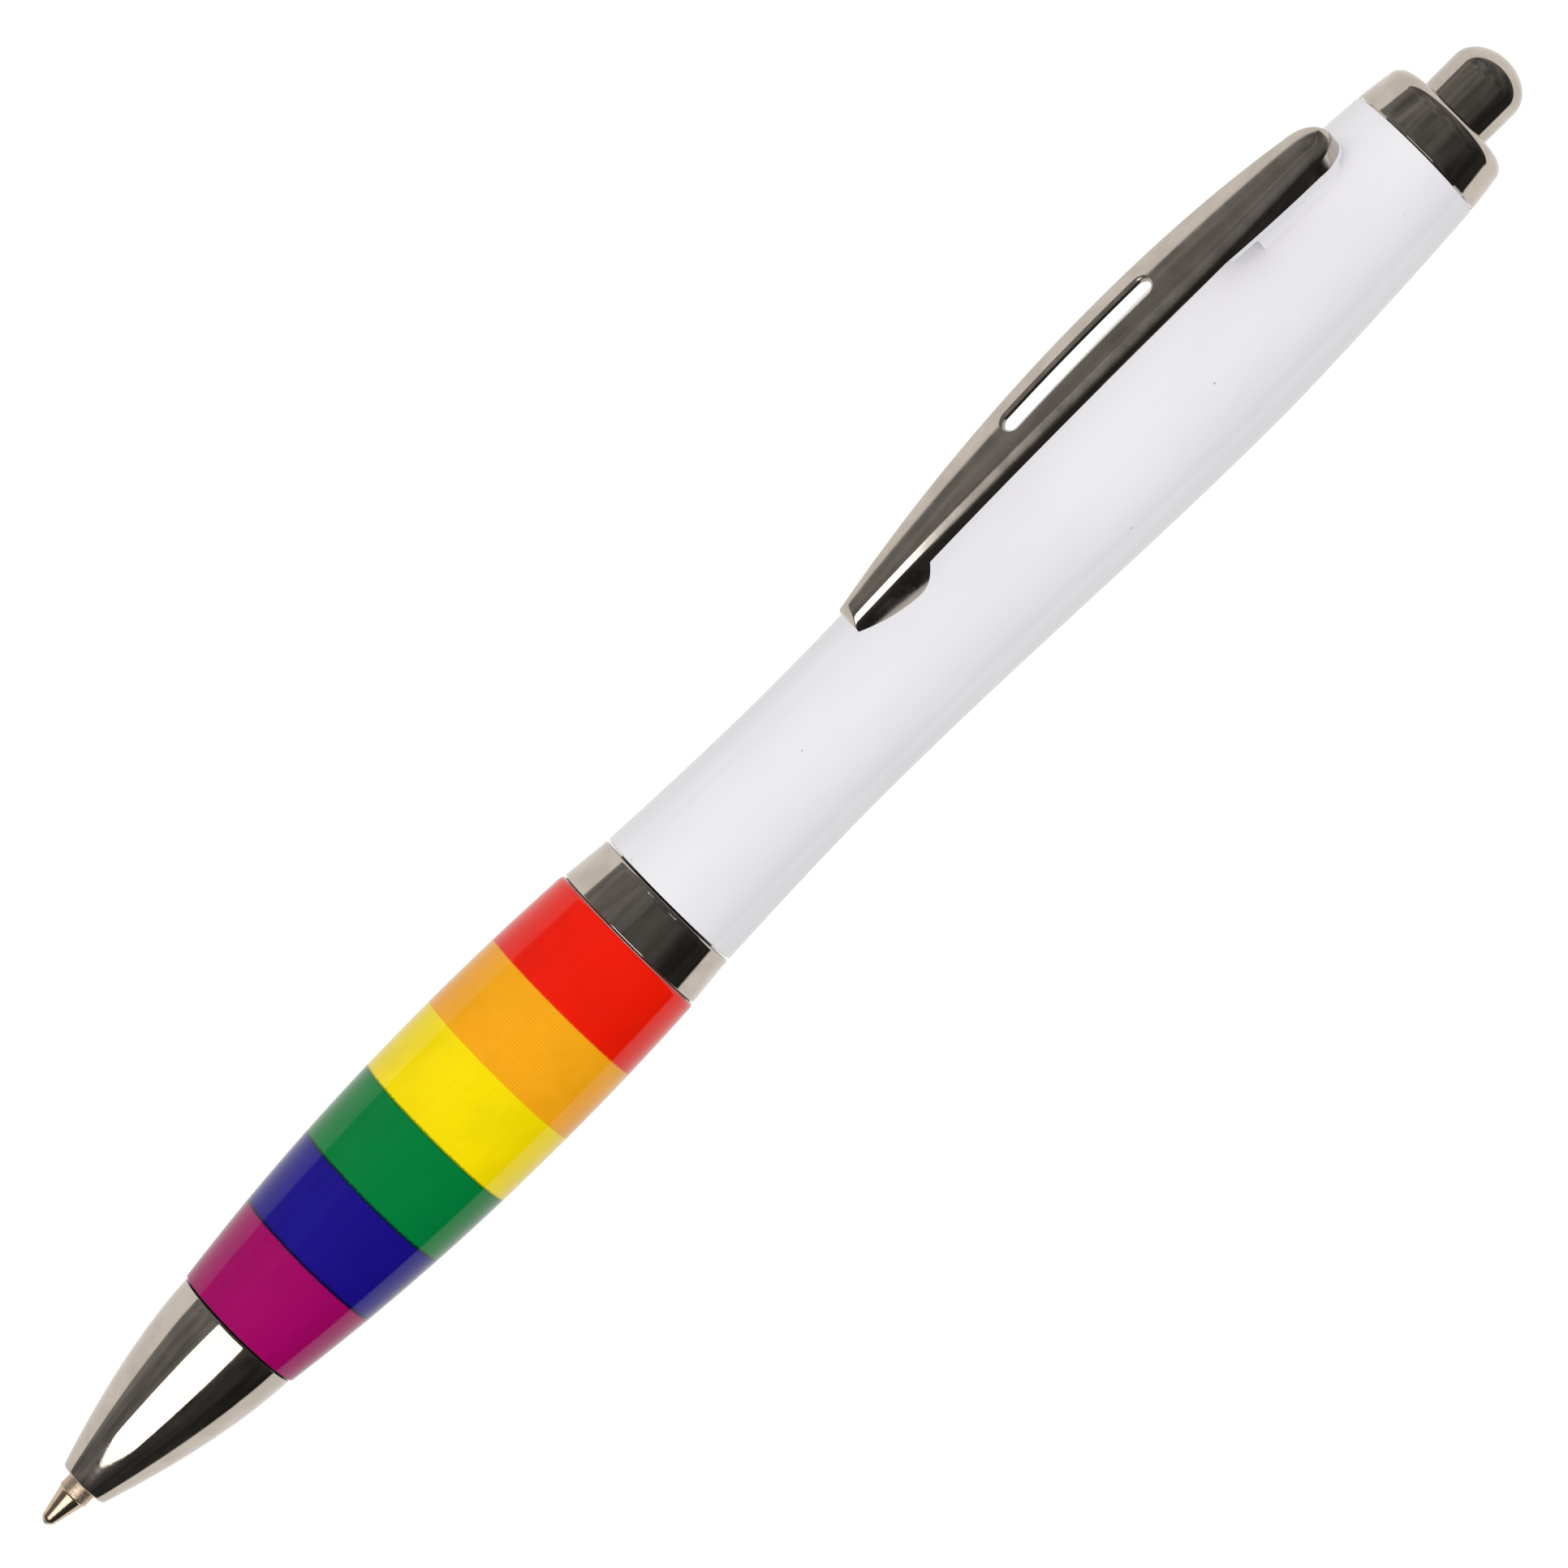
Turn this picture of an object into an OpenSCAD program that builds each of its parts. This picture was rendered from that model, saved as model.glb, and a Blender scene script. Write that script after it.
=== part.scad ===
// Six-colour click pen: a retractable ballpoint with a striped grip, a metal nose and a spring clip.
// Every piece is drawn standing on its writing ball, with Z along the pen and the clip towards +X.
// lay_down() then turns the pen onto its side: tip at -X, button at +X, clip straight up.

/* [Whole pen] */
// Length from the writing ball to the top of the push button
pen_len = 140; // [136:0.5:146]
// Largest radius, at the belly of the grip, which is also the height of the pen's centre line
grip_r = 6.6; // [6.4:0.05:7]
// Thickness of the printed film around the grip
film_t = 0.2; // [0.15:0.01:0.25]
// Gap between pieces that are pressed or glued together
seat_gap = 0.03; // [0.02:0.01:0.05]

/* [Writing point] */
// Radius of the writing ball
ball_r = 0.35; // [0.3:0.05:0.35]
// Radius of the straight front of the point
point_r = 1.17; // [1.1:0.01:1.2]
// Radial running clearance of the point in the nose
point_gap = 0.05; // [0.03:0.01:0.08]

/* [Nose cone] */
// Where the nose's front face is
nose_front = 3.8; // [3.5:0.05:4.5]
// Where the nose meets the grip
nose_end = 18.8; // [18:0.1:19.5]
// Radius of the front face
nose_front_r = 1.87; // [1.8:0.01:2]
// Radius at the grip
nose_end_r = 4.92; // [4.8:0.01:5]

/* [Grip] */
// Length of each printed colour band behind the first
stripe_len = 6.06; // [5.9:0.01:6.15]
// Radius of the grip beside the nose
grip_front_r = 5.05; // [5:0.01:5.2]
// Where the grip is thickest
belly_z = 43.5; // [41:0.5:46]
// Radius of the grip beside the centre band
grip_rear_r = 6.22; // [6.1:0.01:6.3]
// Rounding of the grip's rear corner
grip_corner = 0.45; // [0.3:0.05:0.6]

/* [Centre band] */
// Where the band starts
band_z = 56.1; // [56:0.1:56.3]
// Length of the band
band_len = 3.76; // [3.5:0.01:4]
// Radius of the band beside the grip
band_front_r = 6.12; // [6:0.01:6.15]
// Radius of the band beside the upper barrel
band_rear_r = 5.8; // [5.75:0.01:5.9]

/* [Upper barrel] */
// Where the barrel's waist is
waist_z = 74.5; // [72:0.5:77]
// Radius at the waist
waist_r = 5.3; // [5.2:0.01:5.4]
// Where the shoulder under the clip is
shoulder_z = 112.5; // [110:0.5:115]
// Radius at the shoulder
shoulder_r = 6.27; // [6.2:0.01:6.35]
// Where the barrel meets the top cap
barrel_end = 131.1; // [130.9:0.1:131.3]
// Radius beside the top cap
barrel_end_r = 5.42; // [5.35:0.01:5.5]

/* [Button and top cap] */
// Radius of the push button
button_r = 2.855; // [2.8:0.005:2.9]
// Radial running clearance of the button in the top cap
button_gap = 0.09; // [0.05:0.01:0.1]
// Height of the button's domed end
dome_h = 2.2; // [1.8:0.1:2.4]
// Where the top cap's flat end is
cap_end = 134.8; // [134.6:0.1:135]

/* [Clip] */
// Where the clip's free end is
clip_tip = 81.84; // [81:0.02:83]
// Where the clip's rounded root ends
clip_root = 127.66; // [127.4:0.02:128]
// Half of the clip's greatest width
clip_half = 2.62; // [2.5:0.02:2.7]
// Height of the clip's back above the pen's centre line
clip_top = 10.42; // [10.3:0.02:10.6]
// Depth of the clip's side walls
clip_t = 1.35; // [1.2:0.05:1.5]
// Thickness of the clip's back and side walls
clip_skin = 0.5; // [0.4:0.05:0.6]
// Width of the clip's slot
slot_w = 1.4; // [1.2:0.05:1.6]

/* [Hidden] */
$fn = 72;
eps = 0.01;

// Grip
first_stripe_end = 25.4;
front_bulge = 2.1;
rear_bulge = 2;
steps = 14;

// Front section
core_r = 4.45;
core_bore_r = 3.15;
nose_thread_z = 15;
nose_thread_r = 4;
thread_gap = 0.1;
nose_power = 1.6;
spring_seat = 8.7;
spring_bore_r = 2.75;
hub_r = 4.3;
barrel_thread_r = 4.2;
barrel_thread_len = 6.7;
band_chamfer = 0.15;

// Refill, a metal cartridge of the common 98 mm kind
refill_len = 98.1;
refill_r = 2.95;
refill_wall = 0.4;
refill_neck_r = 1.6;
refill_neck_z = 10.2;
refill_body_z = 17.7;
refill_rim = 92;
point_cone_end = 2.75;
point_lip = 0.28;
point_shank_r = 0.8;
point_shank_end = 14;
feed_r = 0.3;
ball_gap = 0.05;
ink_z = 19;
ink_end = 75;
follower_len = 4;
plug_grip = 4;
vent_r = 0.5;

// Return spring
coil_r = 2.2;
wire_r = 0.2;
turns = 7;
wire_sides = 8;
turn_steps = 18;

// Click mechanism
cam_z = 100;
cam_free_end = 106.5;
cam_end = 120;
cam_r = 4.37;
cam_free_r = 3.75;
cam_bore_r = 3;
groove_w = 1.7;
lugs = 4;
lug_r = 3.45;
lug_w = 1.1;
mover_r = 2.7;
tooth_h = 1.1;
rotor_z = 98.25;
rotor_neck_r = 2.4;
rotor_lug_z = 103;
rotor_lug_len = 3;
rotor_end = 107.7;
plunger_z = 108;
plunger_lug_z = 110.5;
plunger_lug_len = 6.5;
flange_z = 121.6;
flange_len = 1.8;
flange_r = 3.9;
button_z = flange_z + flange_len;
button_bore_r = 2.35;
button_bore_end = 136;

// Upper barrel and top cap
barrel_z = band_z + band_len;
barrel_front_r = 5.76;
thread_bore_end = 67.2;
middle_bore_r = 3.9;
rear_bore_r = 4.4;
cap_spigot_z = 129;
cap_front_r = 5.4;
cap_rear_r = 5.06;
cap_flat_r = 3.8;
cap_corner_z = cap_end - 1.1;

// Clip and the seat under its root
clip_peak_z = 108;
clip_arc_r = 144.7;
clip_crown_r = 6.6;
clip_widest = 108.6;
clip_tip_half = 1.1;
clip_tip_depth = 0.95;
clip_shoulder_z = 125.1;
clip_shoulder_half = 1.7;
heel_drop = 0.5;
slot_z = 98.33;
slot_end = 112.06;
channel_z = 90;
channel_end = 115.8;
root_z = 116.5;
root_slope = 0.175;
tang_z = 122.2;
tang_len = 2.8;
tang_w = 1.4;
tang_bottom = 5.9;
tang_gap = 0.25;
seat_clearance = 0.1;
plate_t = 0.45;
plate_z = 116.85;
plate_inset = 0.1;
base_z = 119.15;
base_end = 127;
base_half = 1.65;

// Radius that leaves r0 at z0 gently and reaches r1 at z1
function swell(z, z0, r0, z1, r1, power) = r0 + (r1 - r0) * pow(abs(z - z0) / abs(z1 - z0), power);

// Radius that leaves r0 at z0 and settles at r1 at z1, flat at both ends
function wave(z, z0, r0, z1, r1) = r0 + (r1 - r0) * (1 - cos(180 * (z - z0) / (z1 - z0))) / 2;

function nose_radius(z) = swell(z, nose_end, nose_end_r, nose_front, nose_front_r, nose_power);

function grip_radius(z) = z < belly_z
  ? swell(z, belly_z, grip_r, nose_end, grip_front_r, front_bulge)
  : swell(z, belly_z, grip_r, band_z, grip_rear_r, rear_bulge)
    - max(0, grip_corner - sqrt(max(0, pow(grip_corner, 2) - pow(max(0, z - band_z + grip_corner), 2))));

function barrel_radius(z) = z < waist_z
  ? swell(z, waist_z, waist_r, barrel_z, barrel_front_r, nose_power)
  : z < shoulder_z
    ? wave(z, waist_z, waist_r, shoulder_z, shoulder_r)
    : swell(z, shoulder_z, shoulder_r, barrel_end, barrel_end_r, 1.45);

// The cap tapers gently to its rear corner, which is round
function cap_radius(z) = z < cap_corner_z
  ? swell(z, barrel_end, cap_front_r, cap_corner_z, cap_rear_r, 1.2)
  : cap_flat_r + (cap_rear_r - cap_flat_r)
    * sqrt(max(0, 1 - pow((z - cap_corner_z) / (cap_end - cap_corner_z), 2)));

// Height of the clip's back above the centre line
function clip_back(z) = clip_top - clip_arc_r + sqrt(pow(clip_arc_r, 2) - pow(z - clip_peak_z, 2));

// Height of the clip's underside: parallel to its back, then sloping down along the root
function clip_under(z) = z < root_z
  ? clip_back(z) - clip_t
  : clip_back(root_z) - clip_t - root_slope * (z - root_z);

function clip_half_width(z) = z < clip_widest
  ? swell(z, clip_widest, clip_half, clip_tip, clip_tip_half, 1.9)
  : z < clip_shoulder_z
    ? swell(z, clip_widest, clip_half, clip_shoulder_z, clip_shoulder_half, 2.3)
    : clip_shoulder_half * sqrt(max(0, 1 - pow((z - clip_shoulder_z) / (clip_root - clip_shoulder_z), 2)));

// Evenly spaced stations from a to b
function stations(a, b, count) = [for (i = [0:count]) a + (b - a) * i / count];

module lay_down() {
  translate([-pen_len / 2, 0, grip_r]) rotate([0, 90, 0]) rotate([0, 0, 180]) children();
}

module ring(z, length, outer_r, inner_r) {
  translate([0, 0, z]) difference() {
    cylinder(h = length, r = outer_r);
    translate([0, 0, -1]) cylinder(h = length + 2, r = inner_r);
  }
}

module drill(z, length, r) {
  translate([0, 0, z]) cylinder(h = length, r = r);
}

// A ring of V-shaped notches across a tube's end face, dir 1 cutting upwards and -1 downwards
module notches(z, dir) {
  count = 2 * lugs;
  half = mover_r * tan(90 / count) * 2;
  for (i = [0:count - 1])
    rotate([0, 0, (i + 0.5) * 360 / count]) translate([0, 0, z])
      rotate([90, 0, 90]) linear_extrude(height = mover_r + 1)
        polygon([[-half, -dir * eps], [half, -dir * eps], [0, dir * tooth_h]]);
}

module lug_set(z, length) {
  for (i = [0:lugs / 2 - 1])
    rotate([0, 0, i * 360 / lugs]) translate([-lug_r, -lug_w / 2, z])
      cube([2 * lug_r, lug_w, length]);
}

module writing_ball() {
  color("silver") lay_down() translate([0, 0, ball_r]) sphere(r = ball_r);
}

module point_body() {
  color("tan") lay_down() difference() {
    union() {
      rotate_extrude() polygon([
        [0, point_lip], [0.45, point_lip], [0.56, 0.5], [1.09, point_cone_end - 0.08],
        [point_r, point_cone_end], [point_r, refill_neck_z], [0, refill_neck_z]
      ]);
      drill(refill_neck_z - eps, point_shank_end - refill_neck_z, point_shank_r);
    }
    translate([0, 0, ball_r]) sphere(r = ball_r + ball_gap);
    drill(ball_r, point_shank_end, feed_r);
  }
}

module refill_tube() {
  inner_r = refill_r - refill_wall;
  color("silver") lay_down() difference() {
    rotate_extrude() polygon([
      [0, refill_neck_z + seat_gap], [refill_neck_r - 0.2, refill_neck_z + seat_gap],
      [refill_neck_r, refill_neck_z + 0.3], [refill_neck_r, refill_body_z - 0.6],
      [refill_r - 0.35, refill_body_z], [refill_r, refill_body_z + 0.4],
      [refill_r, refill_rim], [0, refill_rim]
    ]);
    drill(0, ink_z, point_shank_r + seat_gap);
    drill(refill_body_z + 0.6, refill_rim, inner_r);
  }
}

module ink_column() {
  color("navy") lay_down() drill(ink_z, ink_end - ink_z, refill_r - refill_wall - seat_gap);
}

module grease_follower() {
  color("ivory") lay_down()
    drill(ink_end + seat_gap, follower_len, refill_r - refill_wall - seat_gap);
}

module refill_end_plug() {
  color("white") lay_down() difference() {
    union() {
      drill(refill_rim - plug_grip, plug_grip + 1, refill_r - refill_wall - seat_gap);
      drill(refill_rim + seat_gap, refill_len - refill_rim - seat_gap, refill_r - 0.05);
    }
    drill(refill_rim - plug_grip - 1, refill_len, vent_r);
  }
}

// A wire swept round the neck of the refill, one closed mesh with flat ends
module return_spring() {
  start = spring_seat + wire_r + 0.05;
  rise = refill_body_z - 0.7 - wire_r - start;
  last = turns * turn_steps;
  points = [
    for (k = [0:last]) for (s = [0:wire_sides - 1])
      let (
        turn = 360 * k / turn_steps,
        r = coil_r + wire_r * cos(360 * s / wire_sides)
      )
      [r * cos(turn), r * sin(turn), start + rise * k / last + wire_r * sin(360 * s / wire_sides)]
  ];
  walls = [
    for (k = [0:last - 1]) for (s = [0:wire_sides - 1])
      let (a = k * wire_sides + s, b = k * wire_sides + (s + 1) % wire_sides)
      [a, a + wire_sides, b + wire_sides, b]
  ];
  front = [for (s = [0:wire_sides - 1]) s];
  back = [for (s = [wire_sides - 1:-1:0]) last * wire_sides + s];
  color("gainsboro") lay_down() polyhedron(points, concat([front, back], walls));
}

module nose_cone() {
  color("dimgray") lay_down() difference() {
    rotate_extrude() polygon(concat(
      [[0, nose_end], [0, nose_front]],
      [[nose_radius(nose_front) - 0.12, nose_front]],
      [for (z = stations(nose_front + 0.1, nose_end, steps)) [nose_radius(z), z]]
    ));
    drill(0, nose_end, point_r + point_gap);
    drill(spring_seat, nose_end, spring_bore_r);
    drill(nose_thread_z, nose_end, nose_thread_r + thread_gap);
  }
}

module core_tube() {
  color("dimgray") lay_down() difference() {
    union() {
      drill(nose_thread_z + 0.3, nose_end, nose_thread_r);
      drill(nose_end + seat_gap, band_z - nose_end - seat_gap, core_r);
      drill(nose_end + 1, barrel_z - nose_end - 1, hub_r);
      drill(nose_end + 1, barrel_z + barrel_thread_len - nose_end - 1, barrel_thread_r);
    }
    drill(0, pen_len, core_bore_r);
  }
}

module grip_shell(z0, z1, outer_inset, inner_inset) {
  outer = [for (z = stations(z0, z1, steps)) [grip_radius(z) - outer_inset, z]];
  inner = [for (z = stations(z1, z0, steps)) [grip_radius(z) - inner_inset, z]];
  rotate_extrude() polygon(concat(outer, inner));
}

module grip_sleeve() {
  front = nose_end + seat_gap;
  rear = band_z - grip_corner;
  outer = [for (z = stations(front, rear, 2 * steps)) [grip_radius(z) - film_t, z]];
  color("whitesmoke") lay_down() rotate_extrude() polygon(concat(
    [[core_r + seat_gap, front]], outer,
    [[grip_radius(rear) - film_t - 0.3, band_z - seat_gap], [core_r + seat_gap, band_z - seat_gap]]
  ));
}

// One colour of the printed film, counted from the nose
module film_band(index) {
  start = index == 0 ? nose_end + seat_gap : first_stripe_end + (index - 1) * stripe_len;
  end = index == 5 ? band_z - grip_corner * 0.3 : first_stripe_end + index * stripe_len;
  grip_shell(start, end, 0, film_t - seat_gap);
}

module film_purple() {
  color("mediumvioletred") lay_down() film_band(0);
}

module film_blue() {
  color("navy") lay_down() film_band(1);
}

module film_green() {
  color("green") lay_down() film_band(2);
}

module film_yellow() {
  color("gold") lay_down() film_band(3);
}

module film_orange() {
  color("orange") lay_down() film_band(4);
}

module film_red() {
  color("red") lay_down() film_band(5);
}

module centre_band() {
  front = band_z + seat_gap;
  rear = barrel_z - seat_gap;
  color("dimgray") lay_down() rotate_extrude() polygon([
    [hub_r + seat_gap, front], [band_front_r - band_chamfer, front],
    [band_front_r, front + band_chamfer], [band_rear_r, rear - band_chamfer],
    [band_rear_r - band_chamfer, rear], [hub_r + seat_gap, rear]
  ]);
}

// Turns an outline of station against height into a slab that reaches half to each side
module side_slab(half) {
  translate([0, half, 0]) rotate([90, 0, 0]) linear_extrude(height = 2 * half)
    mirror([1, 0, 0]) rotate([0, 0, 90]) children();
}

// The plate that the clip's root lies on, parallel to it
module seat_plate() {
  top = clip_under(plate_z) - seat_clearance;
  rear_top = clip_under(clip_root) - seat_clearance;
  intersection() {
    rotate([0, 90, 0]) mirror([1, 0, 0]) linear_extrude(height = clip_top) clip_plan(plate_z, plate_inset);
    side_slab(clip_half) polygon([
      [plate_z, top - plate_t], [plate_z, top], [clip_root, rear_top], [clip_root, rear_top - plate_t]
    ]);
  }
}

// The straight-sided block with a round rear end that carries the plate
module seat_base() {
  drop = seat_clearance + plate_t / 2;
  intersection() {
    union() {
      translate([rear_bore_r, -base_half, base_z])
        cube([clip_top, 2 * base_half, base_end - base_half - base_z]);
      translate([rear_bore_r, 0, base_end - base_half])
        rotate([0, 90, 0]) cylinder(h = clip_top, r = base_half);
    }
    side_slab(clip_half) polygon([
      [base_z, rear_bore_r + 0.5], [base_z, clip_under(base_z) - drop],
      [base_end, clip_under(base_end) - drop], [base_end, rear_bore_r + 0.5]
    ]);
  }
}

module upper_barrel() {
  color("white") lay_down() difference() {
    union() {
      rotate_extrude() polygon(concat(
        [[0, barrel_end], [0, barrel_z]],
        [for (z = stations(barrel_z, waist_z, steps / 2)) [barrel_radius(z), z]],
        [for (z = stations(waist_z + 2, shoulder_z, steps)) [barrel_radius(z), z]],
        [for (z = stations(shoulder_z + 1.5, barrel_end, steps / 2)) [barrel_radius(z), z]]
      ));
      seat_plate();
      seat_base();
    }
    drill(barrel_z - 1, pen_len, middle_bore_r);
    drill(barrel_z - 1, thread_bore_end - barrel_z + 1, barrel_thread_r + thread_gap);
    drill(cam_z, pen_len, rear_bore_r);
    translate([tang_bottom - tang_gap, -tang_w / 2 - tang_gap, tang_z - tang_gap])
      cube([clip_top, tang_w + 2 * tang_gap, tang_len + 2 * tang_gap]);
  }
}

module cam_sleeve() {
  color("darkslategray") lay_down() difference() {
    ring(cam_z + seat_gap, cam_end - cam_z - seat_gap, cam_r, cam_bore_r);
    drill(cam_z - 1, cam_free_end - cam_z + 1, cam_free_r);
    for (i = [0:lugs / 2 - 1])
      rotate([0, 0, i * 360 / lugs]) translate([-cam_free_r, -groove_w / 2, cam_z])
        cube([2 * cam_free_r, groove_w, cam_end]);
  }
}

module ratchet_rotor() {
  color("slategray") lay_down() difference() {
    union() {
      drill(rotor_z, rotor_lug_z, rotor_neck_r - 0.2);
      drill(rotor_lug_z - 1, rotor_end - rotor_lug_z + 1, mover_r);
      lug_set(rotor_lug_z, rotor_lug_len);
    }
    translate([0, 0, rotor_end]) cylinder(h = pen_len, r = 2 * lug_r);
    notches(rotor_end, -1);
    drill(rotor_lug_z, pen_len, vent_r + 0.7);
  }
}

module plunger() {
  color("dimgray") lay_down() difference() {
    union() {
      drill(plunger_z, flange_z - plunger_z + eps, mover_r);
      lug_set(plunger_lug_z, plunger_lug_len);
      drill(flange_z, flange_len - seat_gap, flange_r);
      drill(flange_z, button_bore_end - flange_z - 1, button_bore_r - seat_gap);
    }
    notches(plunger_z, 1);
    drill(plunger_z - 1, plunger_lug_z - plunger_z, vent_r + 0.7);
  }
}

module push_button() {
  dome_z = pen_len - dome_h;
  color("gray") lay_down() difference() {
    rotate_extrude() polygon(concat(
      [[0, button_z], [button_r, button_z]],
      [for (a = [0:10:80]) [button_r * cos(a), dome_z + dome_h * sin(a)]],
      [[0, pen_len]]
    ));
    drill(button_z - 1, button_bore_end - button_z + 1, button_bore_r);
  }
}

module top_cap() {
  color("gray") lay_down() difference() {
    union() {
      rotate_extrude() polygon(concat(
        [[0, barrel_end + seat_gap]],
        [for (z = stations(barrel_end + seat_gap, cap_corner_z, steps / 2)) [cap_radius(z), z]],
        [for (a = [15:15:75]) let (z = cap_corner_z + (cap_end - cap_corner_z) * sin(a)) [cap_radius(z), z]],
        [[cap_flat_r, cap_end], [0, cap_end]]
      ));
      drill(cap_spigot_z, barrel_end - cap_spigot_z + 1, cam_r);
    }
    drill(cap_spigot_z - 1, pen_len, button_r + button_gap);
  }
}

// The clip seen from the side: free end, bump on the barrel, bar, sloping root and its heel
module clip_side() {
  tip_h = clip_back(clip_tip);
  heel_len = clip_root - clip_shoulder_z;
  polygon(concat(
    [[clip_tip, tip_h + 1], [clip_tip, tip_h - clip_tip_depth]],
    [[83, 6.6], [84.4, 6.08], [85.4, 5.85], [86.3, 5.79]],
    [[87, 5.94], [87.6, 6.32], [88.1, 6.88], [88.4, 7.35]],
    [for (z = stations(88.8, root_z, steps)) [z, clip_under(z)]],
    [[clip_root, clip_under(clip_root)]],
    [for (a = [15:15:75])
      let (z = clip_shoulder_z + heel_len * cos(a))
      [z, clip_back(z) - heel_drop * (1 - sin(a))]],
    [[clip_shoulder_z, clip_top + 1]]
  ));
}

// The clip seen from above, from z0 to its root and inset all round
module clip_plan(z0, inset) {
  to_shoulder = stations(z0, clip_shoulder_z, 2 * steps);
  heel_len = clip_root - clip_shoulder_z;
  heel = [for (a = [75:-15:15]) clip_shoulder_z + heel_len * cos(a)];
  half = concat(to_shoulder, heel);
  near_side = [for (z = half) [z, clip_half_width(z) - inset]];
  far_side = [for (i = [len(half) - 1:-1:0]) [half[i], inset - clip_half_width(half[i])]];
  polygon(concat(near_side, [[clip_root - inset, 0]], far_side));
}

// Solid ring round the clip's bend, whose crowned outside is the clip's back lowered by inset
module clip_bend(inset) {
  translate([clip_top - clip_arc_r, 0, clip_peak_z]) rotate([90, 0, 0])
    rotate_extrude($fn = 360) translate([clip_arc_r - clip_crown_r, 0]) circle(r = clip_crown_r - inset);
}

// The hollow under the clip's back, between its side walls
module clip_channel() {
  intersection() {
    clip_bend(clip_skin);
    side_slab(clip_half) polygon([
      [channel_z, 0], [channel_z, clip_top], [channel_end, clip_top], [channel_end, 0]
    ]);
    rotate([0, 90, 0]) mirror([1, 0, 0]) linear_extrude(height = clip_top) clip_plan(clip_tip, clip_skin);
  }
}

module clip() {
  color("dimgray") lay_down() {
    difference() {
      intersection() {
        clip_bend(0);
        side_slab(clip_half + 1) clip_side();
        rotate([0, 90, 0]) mirror([1, 0, 0]) linear_extrude(height = clip_top + 2) clip_plan(clip_tip, 0);
      }
      clip_channel();
      for (z = [slot_z + slot_w / 2, slot_end - slot_w / 2])
        translate([0, 0, z]) rotate([0, 90, 0]) cylinder(h = clip_top + 2, r = slot_w / 2);
      translate([0, -slot_w / 2, slot_z + slot_w / 2])
        cube([clip_top + 2, slot_w, slot_end - slot_z - slot_w]);
    }
    translate([tang_bottom, -tang_w / 2, tang_z])
      cube([clip_under(tang_z) - tang_bottom + 0.2, tang_w, tang_len]);
  }
}

writing_ball();
point_body();
refill_tube();
ink_column();
grease_follower();
refill_end_plug();
return_spring();
nose_cone();
core_tube();
grip_sleeve();
film_purple();
film_blue();
film_green();
film_yellow();
film_orange();
film_red();
centre_band();
upper_barrel();
cam_sleeve();
ratchet_rotor();
plunger();
push_button();
top_cap();
clip();
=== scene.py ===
"""Looks of the six-colour click pen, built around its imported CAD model.

The pen lies along X with its point at -X and its clip straight up. Outlines are in millimetres:
stations are measured along the pen from the writing ball, and radii or heights from its centre line.
"""
import math

import bmesh
import bpy
from mathutils import Matrix, Vector


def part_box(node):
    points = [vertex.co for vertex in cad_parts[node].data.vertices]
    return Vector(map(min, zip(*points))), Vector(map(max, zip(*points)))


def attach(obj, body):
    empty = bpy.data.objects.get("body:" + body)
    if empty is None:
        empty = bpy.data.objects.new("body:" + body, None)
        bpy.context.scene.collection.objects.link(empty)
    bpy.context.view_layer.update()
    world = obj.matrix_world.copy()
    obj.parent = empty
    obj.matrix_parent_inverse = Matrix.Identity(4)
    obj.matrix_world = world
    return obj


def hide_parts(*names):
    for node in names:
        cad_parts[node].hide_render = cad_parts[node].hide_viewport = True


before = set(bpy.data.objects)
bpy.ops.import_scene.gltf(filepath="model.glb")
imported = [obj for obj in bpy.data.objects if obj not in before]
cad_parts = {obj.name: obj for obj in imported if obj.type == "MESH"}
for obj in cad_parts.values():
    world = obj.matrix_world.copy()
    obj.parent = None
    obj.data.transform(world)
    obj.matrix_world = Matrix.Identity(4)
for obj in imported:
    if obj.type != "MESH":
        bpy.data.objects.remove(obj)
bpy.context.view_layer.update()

MM = 0.001
SHARP_DEG = 38
TIP_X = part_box("writing_ball")[0].x
AXIS_Z = (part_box("film_yellow")[0].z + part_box("film_yellow")[1].z) / 2


# ---------------------------------------------------------------- places read from the frame


def start_of(node):
    return (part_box(node)[0].x - TIP_X) / MM


def end_of(node):
    return (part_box(node)[1].x - TIP_X) / MM


def radius_of(node):
    low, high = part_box(node)
    return (high.y - low.y) / 2 / MM


NOSE_FRONT, NOSE_END = start_of("nose_cone"), end_of("nose_cone")
BAND_START, BAND_END = start_of("centre_band"), end_of("centre_band")
BARREL_START, BARREL_END = start_of("upper_barrel"), end_of("upper_barrel")
CAP_END, BUTTON_END = end_of("top_cap"), end_of("push_button")
CLIP_TIP, CLIP_ROOT = start_of("clip"), end_of("clip")
GRIP_R = radius_of("film_yellow")
NOSE_R = radius_of("nose_cone")
SHOULDER_R = radius_of("upper_barrel")
BUTTON_R = radius_of("push_button")
CLIP_HALF = radius_of("clip")
CLIP_TOP = (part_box("clip")[1].z - AXIS_Z) / MM
SEAM = 0.1
NOSE_GAP = 0.16

# ---------------------------------------------------------------- outlines


def swell(z, z0, r0, z1, r1, power):
    """Radius that leaves r0 at z0 gently and reaches r1 at z1."""
    return r0 + (r1 - r0) * (abs(z - z0) / abs(z1 - z0)) ** power


def wave(z, z0, r0, z1, r1):
    """Radius that leaves r0 at z0 and settles at r1 at z1, flat at both ends."""
    return r0 + (r1 - r0) * (1 - math.cos(math.pi * (z - z0) / (z1 - z0))) / 2


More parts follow.
